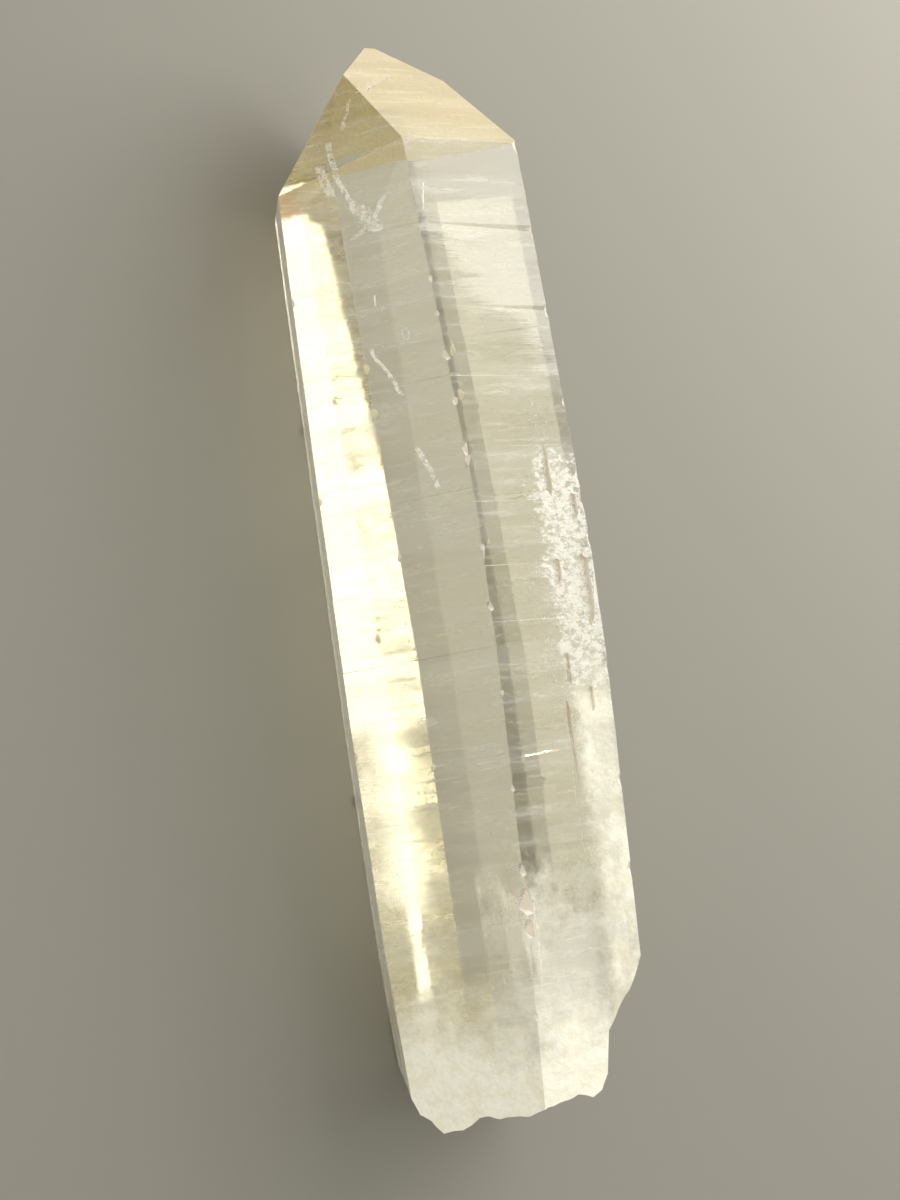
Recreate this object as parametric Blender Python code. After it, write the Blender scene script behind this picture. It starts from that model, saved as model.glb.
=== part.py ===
"""A single citrine quartz point, lying on one flat prism face.

The crystal is one solid. Its axis lies along +Y with the tip towards +Y, and it
rests on the face opposite to its widest upper face. Depths are measured down the
axis from the tip, in millimetres, and the finished mesh is in metres.
"""

import math
import random

import bmesh
import bpy
from mathutils import Matrix, Vector, noise

MM = 0.001

# Overall size
TOTAL_LENGTH = 69.6
RING_START = -4.0
RING_END = TOTAL_LENGTH + 4.0

# Angles between the tip's faces and the axis: quartz's own, a steep one and a worn one
RHOMB_LEAN = 38.2
STEEP_LEAN = 13.3
WORN_RHOMB_LEAN = 35.7

# The six side faces in order round the axis. An azimuth turns from +Z towards +X.
# Each width profile is a list of (depth, distance from the axis).
SIDE_FACES = {
    "top": (0.0, [(0.0, 5.88), (8.3, 6.32), (31.4, 7.55), (41.6, 7.55), (57.0, 7.15), (72.0, 6.45)]),
    "right_upper": (60.0, [(0.0, 7.15), (8.3, 7.41), (35.1, 8.26), (41.6, 8.26), (72.0, 7.34)]),
    "right_lower": (120.0, [(0.0, 5.15), (40.3, 6.94), (72.0, 6.94)]),
    "bottom": (180.0, [(0.0, 7.13), (72.0, 7.13)]),
    "left_lower": (240.0, [(0.0, 8.18), (44.0, 8.18), (58.0, 7.98), (72.0, 7.40)]),
    "left_upper": (300.0, [(0.0, 6.62), (72.0, 6.62)]),
}

# The faces of the tip: azimuth, lean, and the distance from the axis at a depth
TIP_FACES = {
    "main_front": (0.0, RHOMB_LEAN, 6.32, 8.30),
    "main_left": (240.0, WORN_RHOMB_LEAN, 8.18, 9.98),
    "main_back": (120.0, RHOMB_LEAN, 6.94, 9.43),
    "minor_right": (60.0, WORN_RHOMB_LEAN, 7.51, 8.09),
    "minor_under": (180.0, RHOMB_LEAN, 7.13, 7.67),
    "steep_left": (297.5, STEEP_LEAN, 6.46, 8.30),
    "worn_apex": (0.0, 80.0, -0.32, 0.12),
}

# Growth ledges: fine steps across each side face. The top face's are listed as
# (depth, height), and the others come at random spacings.
LEDGE_SEED = 7
LEDGE_HEIGHT = (0.012, 0.035)
LEDGE_RUN = 0.05
TOP_LEDGES = [
    (14.4, 0.012),
    (19.1, 0.020),
    (23.7, 0.014),
    (28.2, 0.016),
    (31.7, 0.032),
    (35.7, 0.034),
    (39.2, 0.030),
    (43.8, 0.014),
    (48.0, 0.024),
    (53.1, 0.018),
    (58.7, 0.022),
    (63.9, 0.020),
]
LEDGE_SPACING = {
    "right_upper": (1.5, 4.0),
    "right_lower": (3.0, 7.0),
    "bottom": None,
    "left_lower": (3.5, 8.0),
    "left_upper": (3.5, 8.0),
}
FIRST_LEDGE = 13.0

# Worn arris along every edge
ARRIS_WIDTH = 0.07
ARRIS_ANGLE = 12.0

# Broken base. Its outline is listed across the crystal, square on to the edge between
# the two upper faces: distance to the right of the axis, depth
BASE_AZIMUTH = 54.0
BASE_OUTLINE = [
    (-12.0, 60.0),
    (-7.4, 67.4),
    (-6.8, 68.8),
    (-6.2, 69.0),
    (-5.5, 69.65),
    (-4.3, 69.75),
    (-3.2, 69.1),
    (-0.2, 68.85),
    (1.6, 68.5),
    (2.9, 68.4),
    (3.8, 68.7),
    (4.4, 68.4),
    (4.9, 67.6),
    (5.35, 65.0),
    (6.2, 63.8),
    (7.0, 62.9),
    (7.9, 61.2),
    (12.0, 54.0),
]
BASE_STEP = 0.75
BASE_REACH = 12.0
BASE_FALL = 0.11
BASE_FALL_START = 7.0
BASE_WAVES = ((0.34, 0.28), (0.16, 0.75), (0.06, 1.9))
RIPPLE_CENTRE = (-6.0, 5.0)
RIPPLE_HEIGHT = 0.06
RIPPLE_LENGTH = 1.9

# Chips along the edges: the two faces that meet, depth, and size
CHIP_SEED = 21
EDGE_CHIPS = [
    ("left_upper", "top", 14.1, 0.28),
    ("left_upper", "top", 17.5, 0.32),
    ("left_upper", "top", 19.7, 0.24),
    ("left_upper", "top", 22.4, 0.36),
    ("left_upper", "top", 25.3, 0.34),
    ("left_upper", "top", 28.3, 0.42),
    ("left_upper", "top", 29.1, 0.34),
    ("left_upper", "top", 34.6, 0.24),
    ("left_upper", "top", 38.2, 0.26),
    ("left_upper", "top", 43.6, 0.22),
    ("left_upper", "top", 49.4, 0.24),
    ("left_upper", "top", 54.4, 0.40),
    ("left_upper", "top", 56.4, 0.95),
    ("left_upper", "top", 57.9, 0.62),
    ("left_upper", "top", 63.2, 0.26),
    ("top", "right_upper", 8.3, 0.46),
    ("top", "right_upper", 14.2, 0.30),
    ("top", "right_upper", 19.5, 0.34),
    ("top", "right_upper", 25.5, 0.34),
    ("top", "right_upper", 30.4, 0.42),
    ("top", "right_upper", 31.9, 0.55),
    ("top", "right_upper", 34.4, 0.40),
    ("top", "right_upper", 38.5, 0.30),
    ("top", "right_upper", 42.6, 0.48),
    ("top", "right_upper", 49.6, 0.50),
    ("top", "right_upper", 55.2, 0.62),
    ("left_lower", "left_upper", 17.0, 0.24),
    ("left_lower", "left_upper", 29.8, 0.30),
    ("left_lower", "left_upper", 46.0, 0.28),
    ("bottom", "left_lower", 24.0, 0.30),
    ("bottom", "left_lower", 48.5, 0.36),
    ("right_lower", "bottom", 20.5, 0.40),
    ("right_lower", "bottom", 23.5, 0.46),
    ("right_lower", "bottom", 33.0, 0.34),
    ("right_lower", "bottom", 47.0, 0.44),
    ("right_upper", "right_lower", 21.0, 0.40),
    ("right_upper", "right_lower", 37.5, 0.44),
    ("right_upper", "right_lower", 58.0, 0.52),
]

# Etched slots on the top face: distance from its right edge, start depth, end depth,
# width, and how deep the slot is. The last is a long growth seam.
ETCHED_SLOTS = [
    (2.40, 28.3, 31.5, 0.38, 0.22),
    (0.84, 35.3, 39.8, 0.78, 0.26),
    (2.86, 35.5, 37.0, 0.40, 0.20),
    (0.78, 31.4, 33.0, 0.50, 0.20),
    (3.10, 41.4, 43.4, 0.26, 0.16),
    (1.55, 43.6, 45.2, 0.34, 0.16),
    (3.42, 44.5, 51.2, 0.18, 0.09),
]
SLOT_RISE = 0.6
SLOT_FLARE = (1.5, 1.05, 1.0)


def clear_scene():
    """Removes whatever the open file holds."""
    for existing in list(bpy.data.objects):
        bpy.data.objects.remove(existing, do_unlink=True)


def radial(azimuth):
    """Unit vector across the axis, turned from +Z towards +X."""
    angle = math.radians(azimuth)
    return Vector((math.sin(angle), 0.0, math.cos(angle)))


def profile_at(profile, depth):
    """Distance from the axis of a side face at a depth, between its listed points."""
    for (d0, w0), (d1, w1) in zip(profile, profile[1:]):
        if depth <= d1:
            return w0 + (w1 - w0) * (depth - d0) / (d1 - d0)
    (d0, w0), (d1, w1) = profile[-2:]
    return w0 + (w1 - w0) * (depth - d0) / (d1 - d0)


def place_ledges():
    """For each side face, the depths of its growth ledges and their heights."""
    rng = random.Random(LEDGE_SEED)
    ledges = {"top": TOP_LEDGES}
    for name, spacing in LEDGE_SPACING.items():
        found = []
        depth = FIRST_LEDGE + rng.uniform(0.0, 2.0)
        while spacing and depth < TOTAL_LENGTH - 4.0:
            found.append((depth, rng.uniform(*LEDGE_HEIGHT)))
            depth += rng.uniform(*spacing)
        ledges[name] = found
    return ledges


def face_distance(name, depth, ledges):
    """Distance from the axis of a side face at a depth, with its ledges.

    Between two ledges the face leans back by the ledge's height, so that the
    steps stay on the face's own plane.
    """
    distance = profile_at(SIDE_FACES[name][1], depth)
    steps = ledges[name]
    for (start, height), (end, _) in zip(steps, steps[1:]):
        if start < depth <= start + LEDGE_RUN:
            return distance + height * (depth - start) / LEDGE_RUN
        if start + LEDGE_RUN < depth <= end:
            return distance + height * (end - depth) / (end - start - LEDGE_RUN)
    return distance


def ring_corners(depth, ledges):
    """The six corners of the cross-section at a depth, where side faces meet."""
    names = list(SIDE_FACES)
    corners = []
    for name, following in zip(names, names[1:] + names[:1]):
        n1, n2 = radial(SIDE_FACES[name][0]), radial(SIDE_FACES[following][0])
        d1 = face_distance(name, depth, ledges)
        d2 = face_distance(following, depth, ledges)
        det = n1.x * n2.z - n1.z * n2.x
        x = (d1 * n2.z - d2 * n1.z) / det
        z = (n1.x * d2 - n2.x * d1) / det
        corners.append(Vector((x, -depth, z)))
    return corners


def ring_depths(ledges):
    """Depths at which the stack of cross-sections needs a ring."""
    depths = {RING_START, RING_END}
    for _, profile in SIDE_FACES.values():
        depths.update(d for d, _ in profile if 0.0 < d < RING_END)
    for steps in ledges.values():
        for depth, _ in steps:
            depths.update((depth, depth + LEDGE_RUN))
    return sorted(depths)


def stack_rings(bm, ledges):
    """Joins the cross-sections into one closed six-sided column."""
    rings = []
    for depth in ring_depths(ledges):
        rings.append([bm.verts.new(co) for co in ring_corners(depth, ledges)])
    for upper, lower in zip(rings, rings[1:]):
        for i in range(6):
            j = (i + 1) % 6
            bm.faces.new((upper[i], upper[j], lower[j], lower[i]))
    bm.faces.new(rings[0])
    bm.faces.new(rings[-1])
    bmesh.ops.recalc_face_normals(bm, faces=bm.faces)


def cut_tip(bm):
    """Cuts the column with each face of the tip and closes the cut."""
    for azimuth, lean, distance, depth in TIP_FACES.values():
        angle = math.radians(lean)
        normal = radial(azimuth) * math.cos(angle) + Vector((0.0, math.sin(angle), 0.0))
        point = radial(azimuth) * distance + Vector((0.0, -depth, 0.0))
        cut = bmesh.ops.bisect_plane(
            bm,
            geom=bm.verts[:] + bm.edges[:] + bm.faces[:],
            dist=1e-5,
            plane_co=point,
            plane_no=normal,
            clear_outer=True,
        )
        rim = [e for e in cut["geom_cut"] if isinstance(e, bmesh.types.BMEdge)]
        bmesh.ops.edgeloop_fill(bm, edges=rim)
    bmesh.ops.recalc_face_normals(bm, faces=bm.faces)


def wear_edges(bm):
    """Gives the long edges and the tip's edges their narrow worn arris."""
    limit = math.radians(ARRIS_ANGLE)
    worn = [e for e in bm.edges if e.is_manifold and e.calc_face_angle(0.0) > limit]
    inner = [e for e in worn if min(v.co.y for v in e.verts) > -RING_END]
    bmesh.ops.bevel(
        bm,
        geom=inner,
        offset=ARRIS_WIDTH,
        segments=1,
        profile=0.5,
        affect="EDGES",
        material=-1,
        clamp_overlap=True,
    )


def base_profile():
    """The listed outline of the base with points no further apart than one step."""
    points = [BASE_OUTLINE[0]]
    for (a0, d0), (a1, d1) in zip(BASE_OUTLINE, BASE_OUTLINE[1:]):
        parts = math.ceil(math.hypot(a1 - a0, d1 - d0) / BASE_STEP)
        for i in range(1, parts + 1):
            points.append((a0 + (a1 - a0) * i / parts, d0 + (d1 - d0) * i / parts))
    return points


def base_relief(across, toward):
    """How far the fracture stands below its outline, with waves and shell ripples."""
    relief = BASE_FALL * (toward - BASE_FALL_START)
    for height, frequency in BASE_WAVES:
        place = Vector((across * frequency, toward * frequency, 3.1 + height))
        relief += height * noise.noise(place)
    reach = math.hypot(across - RIPPLE_CENTRE[0], toward - RIPPLE_CENTRE[1])
    return relief + RIPPLE_HEIGHT * math.sin(math.tau * reach / RIPPLE_LENGTH)


def base_cutter():
    """A block whose upper side is the broken base: the outline swept away from the
    edge between the two upper faces."""
    rightward, away = radial(BASE_AZIMUTH), radial(BASE_AZIMUTH + 90.0)
    rows = math.ceil(2.0 * BASE_REACH / BASE_STEP)
    bm = bmesh.new()
    outline = [bm.verts.new((a, 0.0, d)) for a, d in base_profile()]
    edges = [bm.edges.new(pair) for pair in zip(outline, outline[1:])]
    bmesh.ops.translate(bm, vec=(0.0, -BASE_REACH, 0.0), verts=outline)
    for _ in range(rows):
        swept = bmesh.ops.extrude_edge_only(bm, edges=edges)["geom"]
        moved = [g for g in swept if isinstance(g, bmesh.types.BMVert)]
        edges = [g for g in swept if isinstance(g, bmesh.types.BMEdge)]
        bmesh.ops.translate(bm, vec=(0.0, 2.0 * BASE_REACH / rows, 0.0), verts=moved)
    for vert in bm.verts:
        across, toward, depth = vert.co
        depth += base_relief(across, toward)
        vert.co = rightward * across - away * toward - Vector((0.0, depth, 0.0))
    bmesh.ops.triangulate(bm, faces=bm.faces[:])
    out = bmesh.ops.extrude_face_region(bm, geom=bm.faces[:])
    for vert in out["geom"]:
        if isinstance(vert, bmesh.types.BMVert):
            vert.co.y = -RING_END - 3.0
    bmesh.ops.recalc_face_normals(bm, faces=bm.faces)
    return bm


def edge_point(first, second, depth):
    """The point where two side faces meet at a depth, and the way out of it."""
    n1, n2 = radial(SIDE_FACES[first][0]), radial(SIDE_FACES[second][0])
    d1 = profile_at(SIDE_FACES[first][1], depth)
    d2 = profile_at(SIDE_FACES[second][1], depth)
    det = n1.x * n2.z - n1.z * n2.x
    corner = Vector(((d1 * n2.z - d2 * n1.z) / det, -depth, (n1.x * d2 - n2.x * d1) / det))
    return corner, (n1 + n2).normalized()


def chip_cutter(first, second, depth, size, rng):
    """An uneven lump that takes a shell-shaped chip out of an edge."""
    corner, outward = edge_point(first, second, depth)
    bm = bmesh.new()
    bmesh.ops.create_icosphere(bm, subdivisions=1, radius=size)
    long_way = rng.uniform(1.1, 2.0)
    for vert in bm.verts:
        vert.co *= rng.uniform(0.8, 1.15)
        vert.co.y *= long_way
    turn = Matrix.Rotation(rng.uniform(-0.5, 0.5), 3, outward)
    bmesh.ops.transform(bm, matrix=turn.to_4x4(), verts=bm.verts)
    shift = corner + outward * size * rng.uniform(0.35, 0.55)
    bmesh.ops.translate(bm, vec=shift, verts=bm.verts)
    return bm


def slot_cutter(from_edge, start, end, width, sunk):
    """A narrow etched slot with pointed ends, sunk into the top face."""
    middle = (start + end) / 2.0
    corner, _ = edge_point("top", "right_upper", middle)
    bm = bmesh.new()
    length = end - start
    outline = [
        (-0.5 * width, 0.36 * length),
        (-0.1 * width, 0.5 * length),
        (0.5 * width, 0.42 * length),
        (0.5 * width, -0.34 * length),
        (0.05 * width, -0.5 * length),
        (-0.5 * width, -0.36 * length),
    ]
    floor = [bm.verts.new((x, y, -sunk)) for x, y in outline]
    face = bm.faces.new(floor)
    raised = bmesh.ops.extrude_face_region(bm, geom=[face])
    rim = [g for g in raised["geom"] if isinstance(g, bmesh.types.BMVert)]
    bmesh.ops.translate(bm, vec=(0.0, 0.0, sunk + SLOT_RISE), verts=rim)
    bmesh.ops.scale(bm, vec=SLOT_FLARE, verts=rim)
    bmesh.ops.recalc_face_normals(bm, faces=bm.faces)
    lean = math.atan2(
        profile_at(SIDE_FACES["top"][1], end) - profile_at(SIDE_FACES["top"][1], start), length
    )
    bmesh.ops.transform(bm, matrix=Matrix.Rotation(lean, 4, "X"), verts=bm.verts)
    height = profile_at(SIDE_FACES["top"][1], middle)
    bmesh.ops.translate(bm, vec=(corner.x - from_edge, -middle, height), verts=bm.verts)
    return bm


def to_object(name, bm):
    """Turns a mesh in millimetres into an object in metres."""
    bmesh.ops.scale(bm, vec=(MM, MM, MM), verts=bm.verts)
    mesh = bpy.data.meshes.new(name)
    bm.to_mesh(mesh)
    bm.free()
    made = bpy.data.objects.new(name, mesh)
    bpy.context.scene.collection.objects.link(made)
    return made


def cut_away(target, cutter):
    """Takes a cutter out of the crystal and removes the cutter."""
    cut = target.modifiers.new("cut", "BOOLEAN")
    cut.operation = "DIFFERENCE"
    cut.solver = "EXACT"
    cut.object = cutter
    evaluated = target.evaluated_get(bpy.context.evaluated_depsgraph_get())
    carved = bpy.data.meshes.new_from_object(evaluated)
    target.modifiers.remove(cut)
    worn_out = target.data
    target.data = carved
    bpy.data.meshes.remove(worn_out)
    bpy.data.objects.remove(cutter, do_unlink=True)


def stand_on_origin(crystal):
    """Puts the middle of the crystal's underside at the origin."""
    corners = [v.co for v in crystal.data.vertices]
    low = Vector(min(c[i] for c in corners) for i in range(3))
    high = Vector(max(c[i] for c in corners) for i in range(3))
    middle = (low + high) / 2.0
    crystal.data.transform(Matrix.Translation((-middle.x, -middle.y, -low.z)))
    print("tip frame shift in mm:", [round(c / MM, 4) for c in (-middle.x, -middle.y, -low.z)])


def citrine_material():
    """Clear, faintly yellow quartz."""
    material = bpy.data.materials.new("citrine")
    material.use_nodes = True
    shader = material.node_tree.nodes["Principled BSDF"]
    shader.inputs["Base Color"].default_value = (0.95, 0.90, 0.72, 1.0)
    shader.inputs["Roughness"].default_value = 0.04
    shader.inputs["Metallic"].default_value = 0.0
    shader.inputs["IOR"].default_value = 1.544
    shader.inputs["Transmission Weight"].default_value = 1.0
    return material


def build():
    """Makes the crystal: column, tip, worn edges, slots, chips and broken base."""
    clear_scene()
    ledges = place_ledges()
    bm = bmesh.new()
    stack_rings(bm, ledges)
    cut_tip(bm)
    wear_edges(bm)
    crystal = to_object("crystal", bm)
    cut_away(crystal, to_object("base_cutter", base_cutter()))
    for slot in ETCHED_SLOTS:
        cut_away(crystal, to_object("slot_cutter", slot_cutter(*slot)))
    rng = random.Random(CHIP_SEED)
    for chip in EDGE_CHIPS:
        cut_away(crystal, to_object("chip_cutter", chip_cutter(*chip, rng)))
    stand_on_origin(crystal)
    crystal.data.materials.clear()
    crystal.data.materials.append(citrine_material())


build()
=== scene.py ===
"""Looks of a pale citrine point that lies on one of its flat prism faces.

Places on the crystal are given in millimetres as (x, depth, z): x and z from the
crystal's long axis, and depth down that axis from the tip.
"""

import logging
import math
import random
from dataclasses import dataclass, field
from enum import Enum

import bmesh
import bpy
from mathutils import Matrix, Vector, noise
from mathutils.bvhtree import BVHTree


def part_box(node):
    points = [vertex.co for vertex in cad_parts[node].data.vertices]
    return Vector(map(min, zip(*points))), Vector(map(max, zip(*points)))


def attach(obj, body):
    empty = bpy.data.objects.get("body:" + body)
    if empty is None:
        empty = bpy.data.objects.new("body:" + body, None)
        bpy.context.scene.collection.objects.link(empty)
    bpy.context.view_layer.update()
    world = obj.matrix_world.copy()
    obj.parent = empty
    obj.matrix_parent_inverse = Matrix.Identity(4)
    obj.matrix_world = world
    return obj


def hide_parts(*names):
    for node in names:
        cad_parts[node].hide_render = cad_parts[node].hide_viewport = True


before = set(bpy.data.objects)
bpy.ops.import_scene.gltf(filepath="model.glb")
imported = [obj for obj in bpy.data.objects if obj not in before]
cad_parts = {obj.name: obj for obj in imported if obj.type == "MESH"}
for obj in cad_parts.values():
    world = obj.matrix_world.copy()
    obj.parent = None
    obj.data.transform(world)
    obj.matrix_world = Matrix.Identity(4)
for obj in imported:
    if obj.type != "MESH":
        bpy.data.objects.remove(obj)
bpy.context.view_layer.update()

MM = 0.001
NODE = "crystal"
BODY = "root"
QUARTZ_IOR = 1.544

log = logging.getLogger("citrine_point")


class Region(Enum):
    """The kinds of surface on the crystal, in the order of its material slots."""

    GROWN = 0
    BROKEN = 1
    HIDDEN_TIP = 2
    FRONT_TIP = 3


@dataclass(frozen=True)
class CrystalAxis:
    """The long axis of the crystal, from which every place on it is measured."""

    x: float = -0.113 * MM
    z: float = 7.13 * MM
    tip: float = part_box(NODE)[1].y + 0.066 * MM

    def place(self, x: float, depth: float, z: float) -> Vector:
        """Turns a place on the crystal into world metres.

        Args:
            x: Millimetres to the right of the axis.
            depth: Millimetres down from the tip.
            z: Millimetres above the axis.

        Returns:
            The same place in the frame, in metres.
        """
        return Vector((self.x + x * MM, self.tip - depth * MM, self.z + z * MM))


AXIS = CrystalAxis()


def radial(azimuth: float) -> Vector:
    """The way out from the axis at an azimuth in degrees, turned from +Z to +X."""
    angle = math.radians(azimuth)
    return Vector((math.sin(angle), 0.0, math.cos(angle)))


def turned_to(azimuth: float) -> Matrix:
    """The turn that lays a flat mark, drawn with Y along the axis, on the face at an azimuth."""
    across, out = radial(azimuth + 90.0), radial(azimuth)
    return Matrix((across, Vector((0.0, 1.0, 0.0)), out)).transposed().to_4x4()


def leaning(azimuth: float, lean: float) -> Vector:
    """The normal of a face at that azimuth whose plane leans to the axis, in degrees."""
    angle = math.radians(lean)
    return radial(azimuth) * math.cos(angle) + Vector((0.0, math.sin(angle), 0.0))


class Wire:
    """A value in a material, on which Python's arithmetic adds Math nodes."""

    def __init__(self, writer: "NodeWriter", socket: bpy.types.NodeSocket) -> None:
        """Holds an output socket of the writer's tree."""
        self.writer = writer
        self.socket = socket

    def _math(self, operation: str, *values: "Wire | float") -> "Wire":
        """Adds one Math node on these values."""
        made = self.writer.add("ShaderNodeMath", {"operation": operation}, dict(enumerate(values)))
        return Wire(self.writer, made.outputs[0])

    def __add__(self, other: "Wire | float") -> "Wire":
        """self + other."""
        return self._math("ADD", self, other)

    __radd__ = __add__

    def __sub__(self, other: "Wire | float") -> "Wire":
        """self - other."""
        return self._math("SUBTRACT", self, other)

    def __rsub__(self, other: float) -> "Wire":
        """other - self."""
        return self._math("SUBTRACT", other, self)

    def __mul__(self, other: "Wire | float") -> "Wire":
        """self * other."""
        return self._math("MULTIPLY", self, other)

    __rmul__ = __mul__

    def highest(self, other: "Wire | float") -> "Wire":
        """The higher of two values."""
        return self._math("MAXIMUM", self, other)

    def rise(self, start: float, end: float) -> "Wire":
        """Goes smoothly from 0 at start to 1 at end, either way round.

        Args:
            start: The value that gives 0.
            end: The value that gives 1.

        Returns:
            The eased value, kept between 0 and 1.
        """
        low, high = min(start, end), max(start, end)
        made = self.writer.add(
            "ShaderNodeMapRange",
            {"interpolation_type": "SMOOTHSTEP"},
            {"Value": self, "From Min": low, "From Max": high},
        )
        eased = Wire(self.writer, made.outputs["Result"])
        return eased if end > start else 1.0 - eased

    def between(self, start: float, end: float, soft: float) -> "Wire":
        """1 from start to end, falling to 0 over soft outside them."""
        return self.rise(start - soft, start) * self.rise(end + soft, end)


class NodeWriter:
    """Writes the nodes of one material."""

    def __init__(self, tree: bpy.types.NodeTree) -> None:
        """Starts on an empty tree."""
        self.tree = tree
        tree.nodes.clear()

    def add(self, kind: str, settings: dict | None = None, sockets: dict | None = None) -> bpy.types.Node:
        """Adds a node, sets it and fills its sockets.

        Args:
            kind: The node's type.
            settings: Its own settings, such as an operation.
            sockets: A value, a Wire or a socket for each input by name or number.

        Returns:
            The new node.
        """
        made = self.tree.nodes.new(kind)
        for name, value in (settings or {}).items():
            setattr(made, name, value)
        for name, value in (sockets or {}).items():
            source = value.socket if isinstance(value, Wire) else value
            if isinstance(source, bpy.types.NodeSocket):
                self.tree.links.new(source, made.inputs[name])
            else:
                made.inputs[name].default_value = source
        return made

    def place(self) -> bpy.types.NodeSocket:
        """The shaded point as (x, depth, z) in millimetres."""
        here = self.add("ShaderNodeTexCoord").outputs["Object"]
        start = (-AXIS.x / MM, AXIS.tip / MM, -AXIS.z / MM)
        scaled = self.add(
            "ShaderNodeVectorMath",
            {"operation": "MULTIPLY_ADD"},
            {0: here, 1: (1 / MM, -1 / MM, 1 / MM), 2: start},
        )
        return scaled.outputs[0]

    def split(self, vector: bpy.types.NodeSocket) -> tuple[Wire, Wire, Wire]:
        """The three values of a vector."""
        parts = self.add("ShaderNodeSeparateXYZ", None, {0: vector}).outputs
        return tuple(Wire(self, part) for part in parts)

    def grain(
        self,
        place: bpy.types.NodeSocket,
        scale: float,
        stretch: tuple[float, float, float] = (1.0, 1.0, 1.0),
        detail: float = 3.0,
        rough: float = 0.5,
        shift: float = 0.0,
    ) -> Wire:
        """Soft random variation over the crystal.

        Args:
            place: Where the pattern is read.
            scale: Waves per millimetre.
            stretch: Factor on the waves along x, depth and z.
            detail: How many finer layers it has.
            rough: How strong those are.
            shift: Moves the pattern, so that two of one scale differ.

        Returns:
            The pattern, mostly between 0.3 and 0.7.
        """
        mapped = self.add(
            "ShaderNodeMapping",
            None,
            {"Vector": place, "Scale": tuple(s * scale for s in stretch), "Location": (shift, shift, shift)},
        )
        made = self.add(
            "ShaderNodeTexNoise",
            None,
            {"Vector": mapped.outputs[0], "Scale": 1.0, "Detail": detail, "Roughness": rough},
        )
        return Wire(self, made.outputs["Fac"])

    def bump(self, height: Wire, drop: float, strength: float = 1.0) -> bpy.types.NodeSocket:
        """The normal of a relief that is drop millimetres deep."""
        relief = {"Height": height, "Distance": drop * MM, "Strength": strength}
        return self.add("ShaderNodeBump", None, relief).outputs[0]

    def mix(
        self, factor: Wire | float, first: bpy.types.NodeSocket, second: bpy.types.NodeSocket
    ) -> bpy.types.NodeSocket:
        """The first shader where factor is 0 and the second where it is 1."""
        return self.add("ShaderNodeMixShader", None, {0: factor, 1: first, 2: second}).outputs[0]

    def tint(self, factor: Wire, first: tuple, second: tuple) -> bpy.types.NodeSocket:
        """The first colour where factor is 0 and the second where it is 1."""
        made = self.add(
            "ShaderNodeMix", {"data_type": "RGBA"}, {"Factor": factor, 6: (*first, 1.0), 7: (*second, 1.0)}
        )
        return made.outputs[2]


@dataclass(frozen=True)
class Absorption:
    """How the crystal takes colour out of light that goes through it."""

    colour: tuple[float, float, float] = (1.0, 0.91, 0.40)
    density: float = 21.0

    def write(self, writer: NodeWriter) -> bpy.types.NodeSocket:
        """Adds the volume shader."""
        made = writer.add(
            "ShaderNodeVolumeAbsorption", None, {"Color": (*self.colour, 1.0), "Density": self.density}
        )
        return made.outputs[0]


@dataclass(frozen=True)
class ClearQuartz:
    """Polished, see-through quartz that lets lamps through to what is behind it."""

    roughness: float = 0.012
    shadow: float = 0.45

    def write(self, writer: NodeWriter, normal: bpy.types.NodeSocket) -> bpy.types.NodeSocket:
        """Adds the clear shader with that normal."""
        glass = writer.add(
            "ShaderNodeBsdfPrincipled",
            None,
            {
                "Base Color": (1.0, 1.0, 1.0, 1.0),
                "Roughness": self.roughness,
                "IOR": QUARTZ_IOR,
                "Transmission Weight": 1.0,
                "Normal": normal,
            },
        )
        lit = writer.add("ShaderNodeLightPath").outputs["Is Shadow Ray"]
        passed = (self.shadow, self.shadow, self.shadow, 1.0)
        passing = writer.add("ShaderNodeBsdfTransparent", None, {"Color": passed})
        return writer.mix(Wire(writer, lit), glass.outputs[0], passing.outputs[0])


@dataclass(frozen=True)
class MilkyQuartz:
    """Quartz so full of fine fractures that it scatters light, glossy outside."""

    colour: tuple[float, float, float] = (0.99, 0.975, 0.85)
    thin_colour: tuple[float, float, float] = (0.93, 0.88, 0.70)
    roughness: float = 0.16

    def write(
        self, writer: NodeWriter, whiteness: Wire, normal: bpy.types.NodeSocket
    ) -> bpy.types.NodeSocket:
        """Adds the milky shader.

        Args:
            writer: The material's nodes.
            whiteness: 1 where the milk is thickest.
            normal: The bumped normal.

        Returns:
            The shader's socket.
        """
        made = writer.add(
            "ShaderNodeBsdfPrincipled",
            None,
            {
                "Base Color": writer.tint(whiteness, self.thin_colour, self.colour),
                "Roughness": self.roughness,
                "IOR": QUARTZ_IOR,
                "Normal": normal,
            },
        )
        return made.outputs[0]


@dataclass(frozen=True)
class FrostedQuartz:
    """An etched, sugary surface that still lets some light through."""

    colour: tuple[float, float, float] = (0.99, 0.985, 0.93)
    roughness: float = 0.38
    clear_share: float = 0.25

    def write(self, writer: NodeWriter, normal: bpy.types.NodeSocket) -> bpy.types.NodeSocket:
        """Adds the frosted shader with that normal."""
        made = writer.add(
            "ShaderNodeBsdfPrincipled",
            None,
            {
                "Base Color": (*self.colour, 1.0),
                "Roughness": self.roughness,
                "IOR": QUARTZ_IOR,
                "Transmission Weight": self.clear_share,
                "Normal": normal,
            },
        )
        return made.outputs[0]


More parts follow.
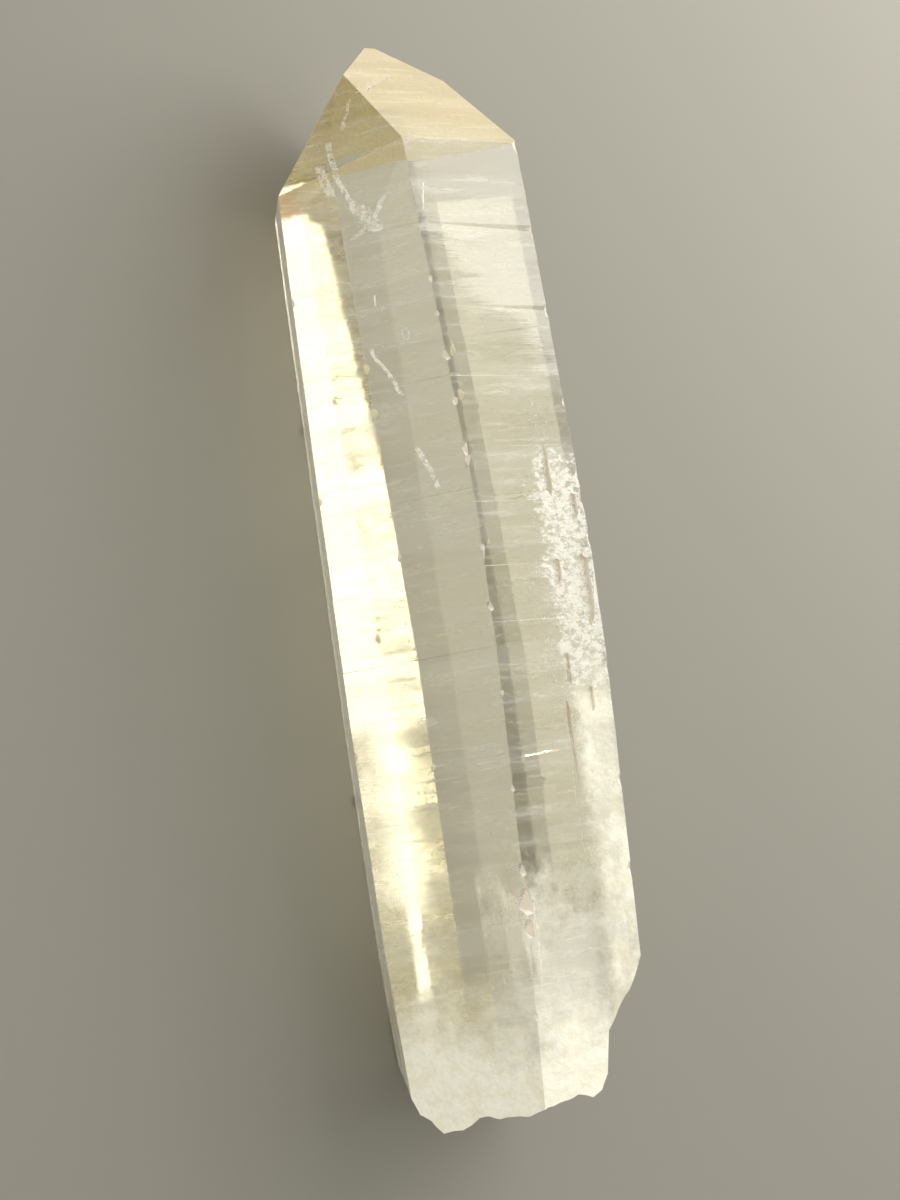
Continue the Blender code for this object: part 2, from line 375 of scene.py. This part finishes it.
@dataclass(frozen=True)
class CrystalFinish:
    """The crystal's surface: clear faces, growth haze, an etched patch, a milky base, and a painted cream
    glow on the point's faces that stands in for light reflected inside the crystal.
    """

    region: Region
    base_start: float = 59.5
    base_end: float = 66.0
    side_milk: tuple[float, float] = (41.0, 47.0)
    patch_start: tuple[float, float] = (25.0, 31.0)
    patch_end: tuple[float, float] = (50.0, 40.0)
    broken_frost: float = 0.9
    broken_relief: float = 0.30
    grown_relief: float = 0.10
    # Painted glow: two creams and the share of a cream film on the point's faces. The film paints the light
    # that reaches those faces by internal reflection from the milky base, varied at random between the dimmer
    # and the brighter cream.
    painted_glow_dim_colour: tuple[float, float, float] = (0.97, 0.88, 0.60)
    painted_glow_bright_colour: tuple[float, float, float] = (1.0, 0.94, 0.68)
    painted_glow_share: dict = field(default_factory=lambda: {Region.HIDDEN_TIP: 0.9, Region.FRONT_TIP: 0.5})

    def milk(self, writer: NodeWriter, place: bpy.types.NodeSocket) -> Wire:
        """How milky each place is, from 0 to 1."""
        x, depth, z = writer.split(place)
        clouds = writer.grain(place, 0.28, detail=4.0) - 0.5
        wisps = writer.grain(place, 1.1, detail=5.0, rough=0.6) - 0.5
        base = (depth + clouds * 10.0 + wisps * 3.0).rise(self.base_start, self.base_end)
        low_down = (depth + clouds * 8.0).rise(*self.side_milk)
        beside = (x + wisps * 1.4).rise(1.6, 3.0) * low_down * z.rise(1.0, 4.0)
        thin = (clouds + wisps * 0.6).rise(-0.12, 0.16)
        return base.highest(beside * (0.45 + thin * 0.4))

    def frost(self, writer: NodeWriter, place: bpy.types.NodeSocket) -> Wire:
        """How etched each place is, from 0 to 1."""
        x, depth, z = writer.split(place)
        drift = writer.grain(place, 0.5, detail=3.0, shift=4.0) - 0.5
        sugar = writer.grain(place, 1.9, stretch=(1.0, 1.5, 1.0), detail=7.0, rough=0.75)
        across = (x + drift * 3.0).rise(-0.2, 2.4) * z.rise(5.6, 6.4)
        along = (depth + drift * 5.0).rise(*self.patch_start) * (depth + drift * 5.0).rise(*self.patch_end)
        return (across * along * 0.30 + sugar - 0.5).rise(0.17, 0.34) * 0.8

    def haze(self, writer: NodeWriter, place: bpy.types.NodeSocket) -> Wire:
        """The faint growth bands across the faces, from 0 to 1."""
        broad = writer.grain(place, 0.42, stretch=(0.10, 1.0, 0.10), detail=2.0, shift=2.0)
        fine = writer.grain(place, 2.4, stretch=(0.10, 1.0, 0.10), detail=5.0, rough=0.7)
        dust = writer.grain(place, 2.2, detail=5.0, rough=0.7, shift=7.0)
        return broad.rise(0.42, 0.62) * 0.14 + fine.rise(0.50, 0.66) * 0.20 + dust.rise(0.55, 0.75) * 0.18

    def material(self) -> bpy.types.Material:
        """Makes the material for this region of the surface."""
        made = bpy.data.materials.new(f"{NODE}_{self.region.name.lower()}")
        made.use_nodes = True
        writer = NodeWriter(made.node_tree)
        place = writer.place()
        striae = writer.grain(place, 1.6, stretch=(0.06, 1.0, 0.06), detail=5.0, rough=0.6)
        fine = writer.grain(place, 3.0, detail=5.0, rough=0.65)
        lumps = writer.grain(place, 0.9, detail=4.0, shift=3.0)
        milk = self.milk(writer, place)
        frost = self.frost(writer, place).highest(self.haze(writer, place))
        polished = writer.bump(striae, 0.010, 0.5)
        worn = writer.bump(fine + striae * 0.5, 0.09)
        broken = self.region is Region.BROKEN
        crusty = writer.bump(fine * 0.35 + lumps, self.broken_relief if broken else self.grown_relief)
        if broken:
            frost = frost.highest(self.broken_frost)
        clear = ClearQuartz().write(writer, polished)
        etched = FrostedQuartz().write(writer, worn)
        white = MilkyQuartz().write(writer, (fine * 0.5 + lumps * 0.5).rise(0.36, 0.58), crusty)
        surface = writer.mix(milk, writer.mix(frost, clear, etched), white)
        # Painted glow: a matte cream film laid over the point's faces, strongest on the hidden ones, paints
        # the light reflected inside the crystal from its milky base.
        if self.region in self.painted_glow_share:
            painted_glow_film = writer.add(
                "ShaderNodeBsdfPrincipled",
                None,
                {
                    "Base Color": writer.tint(fine.rise(0.3, 0.7), self.painted_glow_dim_colour, self.painted_glow_bright_colour),
                    "Roughness": 0.45,
                    "IOR": QUARTZ_IOR,
                    "Normal": worn,
                },
            )
            surface = writer.mix(self.painted_glow_share[self.region], surface, painted_glow_film.outputs[0])
        inside = Absorption().write(writer)
        writer.add("ShaderNodeOutputMaterial", None, {"Surface": surface, "Volume": inside})
        return made


@dataclass(frozen=True)
class VeilFinish:
    """The broken white film of a healed crack or a cloud, as seen inside the crystal."""

    name: str
    colour: tuple[float, float, float] = (1.0, 0.99, 0.94)
    cover: float = 0.5
    waves: float = 2.5
    stretch: tuple[float, float, float] = (1.0, 1.0, 1.0)
    strength: float = 0.9
    soft: float = 0.08
    edge: float = 0.25
    deepens: tuple[float, float] | None = None
    roughness: float = 0.5

    def material(self) -> bpy.types.Material:
        """Makes the film's material, which reads the sheet's UV map for its soft rim."""
        made = bpy.data.materials.new(self.name)
        made.use_nodes = True
        writer = NodeWriter(made.node_tree)
        place = writer.place()
        sheet = writer.split(writer.add("ShaderNodeTexCoord").outputs["UV"])
        rim = sheet[0].between(self.edge * 0.5, 1.0 - self.edge * 0.5, self.edge * 0.5)
        rim = rim * sheet[1].between(self.edge, 1.0 - self.edge, self.edge)
        flakes = writer.grain(place, self.waves, self.stretch, detail=5.0, rough=0.62)
        cover = rim * 0.5 * self.cover
        if self.deepens:
            cover = writer.split(place)[1].rise(*self.deepens) * 0.5 * self.cover
        there = (flakes + cover - 0.25).rise(0.5 - self.soft, 0.5 + self.soft) * rim
        film = writer.add(
            "ShaderNodeBsdfPrincipled",
            None,
            {
                "Base Color": (*self.colour, 1.0),
                "Roughness": self.roughness,
                "Alpha": there * self.strength,
            },
        )
        writer.add("ShaderNodeOutputMaterial", None, {"Surface": film.outputs[0]})
        return made


@dataclass(frozen=True)
class GritFinish:
    """Small white flakes that catch the light."""

    name: str
    colour: tuple[float, float, float] = (1.0, 0.995, 0.95)
    clear_share: float = 0.15

    def material(self) -> bpy.types.Material:
        """Makes the flakes' material."""
        made = bpy.data.materials.new(self.name)
        made.use_nodes = True
        writer = NodeWriter(made.node_tree)
        shade = writer.grain(writer.place(), 4.0, detail=2.0)
        flake = writer.add(
            "ShaderNodeBsdfPrincipled",
            None,
            {
                "Base Color": (*self.colour, 1.0),
                "Roughness": shade * 0.4 + 0.1,
                "IOR": QUARTZ_IOR,
                "Transmission Weight": self.clear_share,
            },
        )
        writer.add("ShaderNodeOutputMaterial", None, {"Surface": flake.outputs[0]})
        return made


class Skin:
    """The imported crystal's own surface, on and under which marks are placed.

    Rays find it, from as far out as reach or from a depth of below_base. Where one misses, miss_drop
    or usual_end stands in for the hit. All four are in millimetres.
    """

    reach = 30.0
    miss_drop = 26.0
    below_base = 90.0
    usual_end = 60.0

    def __init__(self) -> None:
        """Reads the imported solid."""
        bm = bmesh.new()
        bm.from_mesh(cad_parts[NODE].data)
        self.tree = BVHTree.FromBMesh(bm)
        bm.free()

    def point(self, azimuth: float, across: float, depth: float, sink: float) -> Vector:
        """A place just under the surface, in metres.

        Args:
            azimuth: Which way the face looks, in degrees.
            across: Millimetres along the face from its middle line, at a right angle to the axis.
            depth: Millimetres down from the tip.
            sink: Millimetres below the surface.

        Returns:
            The place in the frame.
        """
        out = radial(azimuth)
        start = AXIS.place(0.0, depth, 0.0) + (radial(azimuth + 90.0) * across + out * self.reach) * MM
        hit = self.tree.ray_cast(start, -out)[0]
        return (hit or start - out * self.miss_drop * MM) - out * sink * MM

    def end_depth(self, azimuth: float, across: float, out: float) -> float:
        """The depth of the broken base at a place given from the axis, in millimetres."""
        start = AXIS.place(0.0, self.below_base, 0.0)
        start += (radial(azimuth + 90.0) * across + radial(azimuth) * out) * MM
        hit = self.tree.ray_cast(start, Vector((0.0, 1.0, 0.0)))[0]
        return (AXIS.tip - hit.y) / MM if hit else self.usual_end


@dataclass
class CrystalBody:
    """The crystal itself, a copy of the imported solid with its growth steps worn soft."""

    merge: float = 0.002 * MM
    step_run: float = 0.064 * MM
    flat_within: float = 4.0
    prism_turn: float = 60.0
    step_slope: float = 0.75
    riser_slope: float = 0.7
    grown_faces: tuple = field(
        default_factory=lambda: (
            *(radial(azimuth) for azimuth in (0, 60, 120, 180, 240, 300)),
            leaning(240, 35.7),
            leaning(297.5, 13.3),
        )
    )
    front_face: Vector = field(default_factory=lambda: leaning(0, 38.2))
    hidden_faces: tuple = field(
        default_factory=lambda: (leaning(120, 38.2), leaning(60, 35.7), leaning(180, 38.2))
    )

    def region_of(self, normal: Vector) -> Region:
        """The kind of surface that a face with this normal belongs to."""
        limit = math.cos(math.radians(self.flat_within))
        if normal.dot(self.front_face) > limit:
            return Region.FRONT_TIP
        if any(normal.dot(way) > limit for way in self.hidden_faces):
            return Region.HIDDEN_TIP
        if any(normal.dot(way) > limit for way in self.grown_faces):
            return Region.GROWN
        turn = math.degrees(math.atan2(normal.x, normal.z)) % self.prism_turn
        if min(turn, self.prism_turn - turn) < self.flat_within and abs(normal.y) < self.step_slope:
            return Region.GROWN
        return Region.BROKEN

    def wear_steps(self, bm: bmesh.types.BMesh) -> None:
        """Closes up the short risers of the growth steps, so that only their slopes stay."""
        risers = set()
        for edge in bm.edges:
            run = edge.verts[1].co - edge.verts[0].co
            if run.length < self.step_run and abs(run.y) > self.riser_slope * run.length:
                risers.update(edge.verts)
        bmesh.ops.remove_doubles(bm, verts=list(risers), dist=self.step_run)

    def build(self) -> bpy.types.Object:
        """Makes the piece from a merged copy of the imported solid."""
        bm = bmesh.new()
        bm.from_mesh(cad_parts[NODE].data)
        bmesh.ops.remove_doubles(bm, verts=bm.verts, dist=self.merge)
        self.wear_steps(bm)
        bm.normal_update()
        for face in bm.faces:
            face.material_index = self.region_of(face.normal).value
            face.smooth = False
        return finished("crystal_body", bm, [CrystalFinish(region).material() for region in Region])


@dataclass(frozen=True)
class Veil:
    """A healed crack: a crooked strip of film along a line just under a face."""

    name: str
    azimuth: float
    route: tuple[tuple[float, float], ...]
    width: float = 0.35
    lean: float = 30.0
    sink: float = 0.12
    crooked: float = 0.10
    fineness: float = 0.06
    rows: int = 6

    def spine(self) -> list[tuple[float, float]]:
        """The route in even short steps, a little crooked."""
        points = []
        for (across, depth), (next_across, next_depth) in zip(self.route, self.route[1:]):
            run, drop = next_across - across, next_depth - depth
            count = max(2, round(math.hypot(run, drop) / self.fineness))
            for step in range(count):
                part = step / count
                spot = Vector((across + run * part, depth + drop * part, self.azimuth))
                shift = noise.noise(spot * 1.7) * self.crooked + noise.noise(spot * 6.0) * self.crooked * 0.4
                points.append((spot.x + shift, spot.y + shift * 0.5))
        points.append(self.route[-1])
        return points

    def build(self, skin: Skin, material: bpy.types.Material) -> bpy.types.Object:
        """Makes the strip.

        Args:
            skin: The surface under which it lies.
            material: Its film.

        Returns:
            The piece.
        """
        spine = self.spine()
        bm = bmesh.new()
        bm.loops.layers.uv.new("sheet")
        bmesh.ops.create_grid(bm, x_segments=len(spine) - 1, y_segments=self.rows, size=0.5, calc_uvs=True)
        tilt = math.radians(self.lean)
        sideways = radial(self.azimuth + 90.0) * math.cos(tilt) - radial(self.azimuth) * math.sin(tilt)
        for vert in bm.verts:
            across, depth = spine[round((vert.co.x + 0.5) * (len(spine) - 1))]
            reach = vert.co.y * self.width
            ripple = noise.noise(Vector((across * 3.0, depth * 3.0, vert.co.y * 2.0))) * self.width * 0.3
            spot = skin.point(self.azimuth, across, depth, self.sink + self.width * 0.5 * math.sin(tilt))
            vert.co = spot + (sideways * reach - radial(self.azimuth) * abs(ripple)) * MM
        return finished(self.name, bm, [material])


@dataclass(frozen=True)
class CloudSheet:
    """One layer of the milk in the base, parallel to a face and some way under it."""

    name: str
    azimuth: float
    out: float
    start: float
    half_width: float
    clearance: float = 0.9
    wave: float = 0.25
    columns: int = 20
    rows: int = 28

    def build(self, skin: Skin, material: bpy.types.Material) -> bpy.types.Object:
        """Makes the layer.

        Args:
            skin: The surface that the layer stays inside.
            material: Its film.

        Returns:
            The piece.
        """
        bm = bmesh.new()
        bm.loops.layers.uv.new("sheet")
        bmesh.ops.create_grid(
            bm, x_segments=self.columns, y_segments=self.rows, size=0.5, calc_uvs=True
        )
        along = radial(self.azimuth + 90.0)
        for vert in bm.verts:
            across = vert.co.x * 2.0 * self.half_width
            end = skin.end_depth(self.azimuth, across, self.out) - self.clearance
            depth = self.start + (vert.co.y + 0.5) * (end - self.start)
            lift = noise.noise(Vector((across, depth, self.out)) * 0.5) * self.wave
            here = AXIS.place(0.0, depth, 0.0)
            vert.co = here + (along * across + radial(self.azimuth) * (self.out + lift)) * MM
        return finished(self.name, bm, [material])


@dataclass(frozen=True)
class Grit:
    """Flakes and specks scattered in clusters on a face."""

    name: str
    azimuth: float
    clusters: tuple[tuple[float, float, float, float, int], ...]
    size: tuple[float, float] = (0.02, 0.07)
    stretch: tuple[float, float, float] = (1.0, 1.0, 0.4)
    sink: tuple[float, float] = (0.03, 0.07)
    seed: int = 1

    def build(self, skin: Skin, material: bpy.types.Material) -> bpy.types.Object:
        """Makes the flakes.

        Args:
            skin: The surface that they lie on.
            material: Their finish.

        Returns:
            One piece with every flake.
        """
        rng = random.Random(self.seed)
        face_turn = turned_to(self.azimuth)
        bm = bmesh.new()
        for across, depth, spread, reach, count in self.clusters:
            for _ in range(count):
                spot = skin.point(
                    self.azimuth, rng.gauss(across, spread), rng.gauss(depth, reach), rng.uniform(*self.sink)
                )
                radius = rng.uniform(*self.size) * rng.uniform(0.5, 1.0) * MM
                shape = Matrix.Diagonal((*(part * rng.uniform(0.6, 1.5) for part in self.stretch), 1.0))
                turn = Matrix.Rotation(rng.gauss(0.0, 0.5), 4, "Z")
                turn = turn @ Matrix.Rotation(rng.gauss(0.0, 0.4), 4, "X")
                bmesh.ops.create_icosphere(
                    bm,
                    subdivisions=1,
                    radius=radius,
                    matrix=Matrix.Translation(spot) @ face_turn @ turn @ shape,
                )
        return finished(self.name, bm, [material])


@dataclass(frozen=True)
class EtchPit:
    """A hexagonal etch figure, drawn as a thin bright rim on the face."""

    name: str = "etch_pit"
    azimuth: float = 300.0
    across: float = 1.82
    depth: float = 20.5
    half_width: float = 0.30
    half_height: float = 0.48
    rim: float = 0.09
    height: float = 0.03
    bevel_share: float = 0.3
    sink: float = 0.04
    turn: float = 12.0

    def build(self, skin: Skin, material: bpy.types.Material) -> bpy.types.Object:
        """Makes the rim on the face."""
        bm = bmesh.new()
        for inset in (0.0, self.rim):
            half_width, half_height = (self.half_width - inset) * MM, (self.half_height - inset) * MM
            shape = Matrix.Diagonal((half_width, half_height, 1.0, 1.0))
            bmesh.ops.create_circle(bm, segments=6, radius=1.0, matrix=shape)
        bmesh.ops.bridge_loops(bm, edges=list(bm.edges))
        bm.normal_update()
        bmesh.ops.solidify(bm, geom=list(bm.faces), thickness=self.height * MM)
        bmesh.ops.bevel(
            bm,
            geom=list(bm.edges),
            offset=self.height * self.bevel_share * MM,
            segments=1,
            profile=0.5,
            affect="EDGES",
            material=-1,
            clamp_overlap=True,
        )
        face_turn = turned_to(self.azimuth)
        turned = face_turn @ Matrix.Rotation(math.radians(self.turn), 4, "Z")
        spot = skin.point(self.azimuth, self.across, self.depth, self.sink)
        bmesh.ops.transform(bm, matrix=Matrix.Translation(spot) @ turned, verts=bm.verts)
        return finished(self.name, bm, [material])


@dataclass(frozen=True)
class Inclusions:
    """Everything that is seen in and on the clear crystal, face by face."""

    left: float = 300.0
    top: float = 0.0
    prism: tuple[float, ...] = (0.0, 60.0, 120.0, 180.0, 240.0, 300.0)
    clouded: tuple[tuple[float, float], ...] = ((0.0, 0.0), (60.0, 1.0))
    layers: tuple[tuple[float, float, float], ...] = ((6.2, 50.0, 3.3), (4.9, 51.0, 3.6), (3.0, 53.0, 3.8))

    def veils(self) -> tuple[Veil, ...]:
        """The healed cracks, from the tip down."""
        left, top = self.left, self.top
        # Each has a name, a face, its route as (across, depth), and then width, lean, sink and crook.
        return (
            Veil("veil_apex", left, ((1.1, 2.4), (0.75, 3.3), (0.4, 4.6)), 1.1, 15.0),
            Veil("veil_apex_side", left, ((-0.1, 4.5), (-0.45, 5.3), (-0.9, 6.9)), 0.35),
            Veil(
                "veil_shoulder_a", left, ((-1.95, 7.0), (-1.88, 7.7), (-1.7, 8.5), (-1.45, 9.4)), 0.65, 15.0
            ),
            Veil(
                "veil_shoulder_b", left, ((-2.75, 8.4), (-2.58, 9.1), (-2.28, 9.9), (-1.9, 11.1)), 1.0, 15.0
            ),
            Veil(
                "veil_shoulder_c", left, ((-1.75, 9.1), (-1.37, 10.0), (-0.94, 10.9), (-0.3, 12.6)), 0.6, 20.0
            ),
            Veil("veil_branch_a", left, ((1.95, 11.3), (1.36, 12.0), (1.1, 12.4), (0.5, 13.1)), 0.60, 20.0),
            Veil("veil_branch_b", left, ((0.6, 12.2), (0.0, 13.3), (-0.5, 13.7), (-1.2, 14.0)), 0.80, 15.0),
            Veil("veil_pool", left, ((-0.6, 11.6), (0.3, 12.6), (0.9, 13.9)), 1.7, 8.0),
            Veil(
                "veil_streak",
                left,
                ((-0.7, 20.4), (-0.66, 21.2), (-0.41, 21.75), (0.34, 22.8), (1.05, 24.6)),
                0.42,
                20.0,
            ),
            Veil("veil_dash", left, ((1.3, 27.4), (1.76, 28.4), (2.18, 29.3), (2.7, 30.9)), 0.55, 20.0),
            Veil("veil_tick", left, ((0.1, 17.6), (0.0, 18.0), (0.05, 18.4)), 0.18),
            Veil("veil_edge", top, ((-2.9, 11.0), (-3.05, 12.0), (-3.3, 13.2)), 0.20),
            Veil("line_a", top, ((-1.7, 32.1), (0.0, 31.9), (1.6, 31.62)), 0.12, 5.0, 0.02, 0.03),
            Veil("line_b", top, ((-0.9, 33.71), (1.6, 33.55)), 0.08, 5.0, 0.02, 0.03),
            Veil("line_c", top, ((-2.3, 35.27), (0.0, 35.05), (1.9, 34.87)), 0.11, 5.0, 0.02, 0.03),
            Veil("line_d", top, ((-2.7, 38.95), (-1.0, 38.75), (0.7, 38.52)), 0.09, 5.0, 0.02, 0.03),
            Veil("line_e", top, ((0.4, 47.35), (1.7, 47.22)), 0.09, 5.0, 0.02, 0.03),
            Veil(
                "seam_upper",
                top,
                ((2.25, 36.0), (2.18, 37.5), (2.08, 41.5), (2.01, 42.9)),
                0.30,
                60.0,
                0.1,
                0.2,
            ),
            Veil(
                "seam_lower",
                top,
                ((2.0, 42.9), (1.56, 46.1), (1.66, 47.4), (1.42, 49.4), (1.6, 55.5)),
                0.26,
                60.0,
            ),
            Veil("base_crack", top, ((4.5, 55.9), (3.62, 56.7), (2.67, 57.7), (1.6, 58.4)), 0.16, 40.0),
            Veil("base_seam", top, ((-2.9, 55.5), (-2.7, 58.5), (-2.9, 62.0)), 0.40, 50.0),
        )

    def build(self, skin: Skin) -> None:
        """Makes every inclusion."""
        healed = VeilFinish("healed_film", cover=0.62, waves=3.0, strength=0.95).material()
        for veil in self.veils():
            veil.build(skin, healed)
        cloud = VeilFinish(
            "base_cloud", (1.0, 0.985, 0.90), 1.15, 0.55, (1.0, 0.9, 1.0), 0.75, 0.2, 0.12, (51.0, 63.0)
        ).material()
        for azimuth, down in self.clouded:
            for layer, (out, start, half) in enumerate(self.layers):
                sheet = CloudSheet(f"cloud_{round(azimuth)}_{layer}", azimuth, out, start + down, half)
                sheet.build(skin, cloud)
        self.scatter(skin)

    def scatter(self, skin: Skin) -> None:
        """Strews the flakes and specks, and adds the etch figure."""
        # Each cluster is (across, depth, spread across, spread in depth, how many).
        flakes = GritFinish("flakes").material()
        Grit(
            "etched_flakes",
            self.top,
            (
                (2.5, 28.6, 0.22, 1.6, 90),
                (3.2, 29.4, 0.18, 1.6, 50),
                (2.7, 33.2, 0.40, 1.6, 200),
                (1.7, 33.0, 0.70, 2.0, 90),
                (3.4, 35.8, 0.45, 1.7, 200),
                (1.6, 37.8, 0.80, 2.0, 140),
                (4.0, 38.5, 0.20, 1.4, 80),
                (0.9, 42.4, 0.35, 0.8, 60),
                (2.2, 44.0, 0.60, 2.4, 90),
            ),
            (0.015, 0.07),
            (1.2, 1.1, 0.35),
            (0.04, 0.07),
            5,
        ).build(skin, flakes)
        Grit("tip_flakes", self.left, ((0.3, 12.8, 0.5, 0.6, 60), (-2.0, 9.8, 0.5, 0.8, 40)), seed=8).build(
            skin, flakes
        )
        edge_clusters = ((4.15, 54.2, 0.18, 0.25, 18), (4.2, 56.4, 0.3, 0.5, 40))
        Grit("edge_flakes", self.left, edge_clusters, (0.03, 0.10), seed=9).build(skin, flakes)
        for azimuth in self.prism:
            Grit(
                f"specks_{round(azimuth)}",
                azimuth,
                ((0.0, 35.0, 2.2, 14.0, 46),),
                (0.015, 0.045),
                sink=(0.02, 1.2),
                seed=round(azimuth) + 3,
            ).build(skin, flakes)
        EtchPit().build(skin, flakes)


def finished(name: str, bm: bmesh.types.BMesh, materials: list[bpy.types.Material]) -> bpy.types.Object:
    """Makes a piece of the crystal from a mesh in world metres.

    Args:
        name: The piece's name.
        bm: Its mesh, which is freed.
        materials: Its material slots in order.

    Returns:
        The piece, riding on the crystal's body.
    """
    mesh = bpy.data.meshes.new(name)
    bm.to_mesh(mesh)
    bm.free()
    for material in materials:
        mesh.materials.append(material)
    piece = bpy.data.objects.new(name, mesh)
    bpy.context.scene.collection.objects.link(piece)
    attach(piece, BODY)
    log.info("%s: %d faces", name, len(mesh.polygons))
    return piece


@dataclass(frozen=True)
class SoftBox:
    """One soft studio lamp, aimed at the crystal."""

    name: str
    azimuth: float
    elevation: float
    distance: float
    width: float
    height: float
    radiance: float
    colour: tuple[float, float, float]
    aim: tuple[float, float] = (0.0, 0.0)

    def build(self) -> bpy.types.Object:
        """Adds the lamp. Its azimuth turns from +Y towards +X."""
        turn, lift = math.radians(self.azimuth), math.radians(self.elevation)
        way = Vector((math.sin(turn) * math.cos(lift), math.cos(turn) * math.cos(lift), math.sin(lift)))
        lamp = bpy.data.lights.new(self.name, "AREA")
        lamp.shape = "RECTANGLE"
        lamp.size, lamp.size_y = self.width, self.height
        lamp.energy = self.radiance * math.pi * self.width * self.height
        lamp.color = self.colour
        made = bpy.data.objects.new(self.name, lamp)
        made.location = way * self.distance + Vector((*self.aim, 0.0))
        made.rotation_euler = way.to_track_quat("Z", "Y").to_euler()
        made.visible_camera = False
        bpy.context.scene.collection.objects.link(made)
        return made


@dataclass(frozen=True)
class Studio:
    """The pale floor, the soft light and the camera."""

    floor_reach: float = 1.6
    floor_gap: float = 0.08 * MM
    floor_colour: tuple[float, float, float] = (0.285, 0.275, 0.242)
    sky_colour: tuple[float, float, float] = (0.80, 0.785, 0.73)
    sky_strength: float = 0.74
    look_depth: float = 36.0
    look_right: float = -0.48
    look_up: float = -0.72
    azimuth: float = -36.2
    tilt: float = 6.1
    distance: float = 176.7
    roll: float = -8.05
    field_of_view: float = 24.5
    film_height: float = 36.0
    bounces: int = 14
    film_layers: int = 20

    def build_floor(self) -> bpy.types.Object:
        """Makes the plain floor just under the crystal."""
        bm = bmesh.new()
        lowered = Matrix.Translation((0.0, 0.0, -self.floor_gap))
        bmesh.ops.create_grid(bm, x_segments=8, y_segments=8, size=self.floor_reach, matrix=lowered)
        mesh = bpy.data.meshes.new("floor")
        bm.to_mesh(mesh)
        bm.free()
        material = bpy.data.materials.new("floor_paint")
        material.use_nodes = True
        writer = NodeWriter(material.node_tree)
        paint = writer.add(
            "ShaderNodeBsdfPrincipled", None, {"Base Color": (*self.floor_colour, 1.0), "Roughness": 0.85}
        )
        writer.add("ShaderNodeOutputMaterial", None, {"Surface": paint.outputs[0]})
        mesh.materials.append(material)
        floor = bpy.data.objects.new("floor", mesh)
        bpy.context.scene.collection.objects.link(floor)
        return floor

    def light(self) -> None:
        """Adds the even sky and the soft lamps."""
        world = bpy.data.worlds.new("studio_air")
        bpy.context.scene.world = world
        world.use_nodes = True
        sky = world.node_tree.nodes["Background"]
        sky.inputs["Color"].default_value = (*self.sky_colour, 1.0)
        sky.inputs["Strength"].default_value = self.sky_strength
        for box in (
            SoftBox("key_box", 74.0, 52.0, 0.70, 0.62, 0.62, 0.97, (1.0, 0.97, 0.87)),
            SoftBox("left_box", -78.0, 16.0, 0.80, 0.90, 0.44, 1.35, (1.0, 0.97, 0.88)),
            SoftBox("right_box", 52.0, 40.0, 0.12, 0.16, 0.09, 4.2, (1.0, 0.98, 0.93), (0.03, 0.015)),
        ):
            box.build()

    def shoot(self) -> bpy.types.Object:
        """Adds the camera, square to the crystal's length but for a small tilt."""
        sideways = math.radians(self.tilt)
        back = radial(self.azimuth) * math.cos(sideways) - Vector((0.0, math.sin(sideways), 0.0))
        level = Vector((0.0, 1.0, 0.0)).cross(back).normalized()
        rise = back.cross(level)
        turn = math.radians(self.roll)
        right = level * math.cos(turn) + rise * math.sin(turn)
        up = rise * math.cos(turn) - level * math.sin(turn)
        aim = AXIS.place(0.0, self.look_depth, 0.0) + (right * self.look_right + up * self.look_up) * MM
        turned = Matrix((right, up, back)).transposed().to_4x4()
        turned.translation = aim + back * self.distance * MM
        lens = bpy.data.cameras.new("camera")
        lens.sensor_width = self.film_height
        lens.lens = self.film_height / 2.0 / math.tan(math.radians(self.field_of_view / 2.0))
        made = bpy.data.objects.new("camera", lens)
        made.matrix_world = turned
        bpy.context.scene.collection.objects.link(made)
        bpy.context.scene.camera = made
        bpy.context.scene.view_settings.view_transform = "Standard"
        cycles = bpy.context.scene.cycles
        cycles.max_bounces = cycles.transmission_bounces = cycles.glossy_bounces = self.bounces
        cycles.transparent_max_bounces = self.film_layers
        return made


def main() -> None:
    """Builds the studio and every piece of the crystal, in order."""
    logging.basicConfig(level=logging.INFO, format="%(name)s: %(message)s")
    studio = Studio()
    studio.shoot()
    studio.build_floor()
    studio.light()
    body = CrystalBody().build()
    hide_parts(NODE)
    Inclusions().build(Skin())


if __name__ == "__main__":
    main()
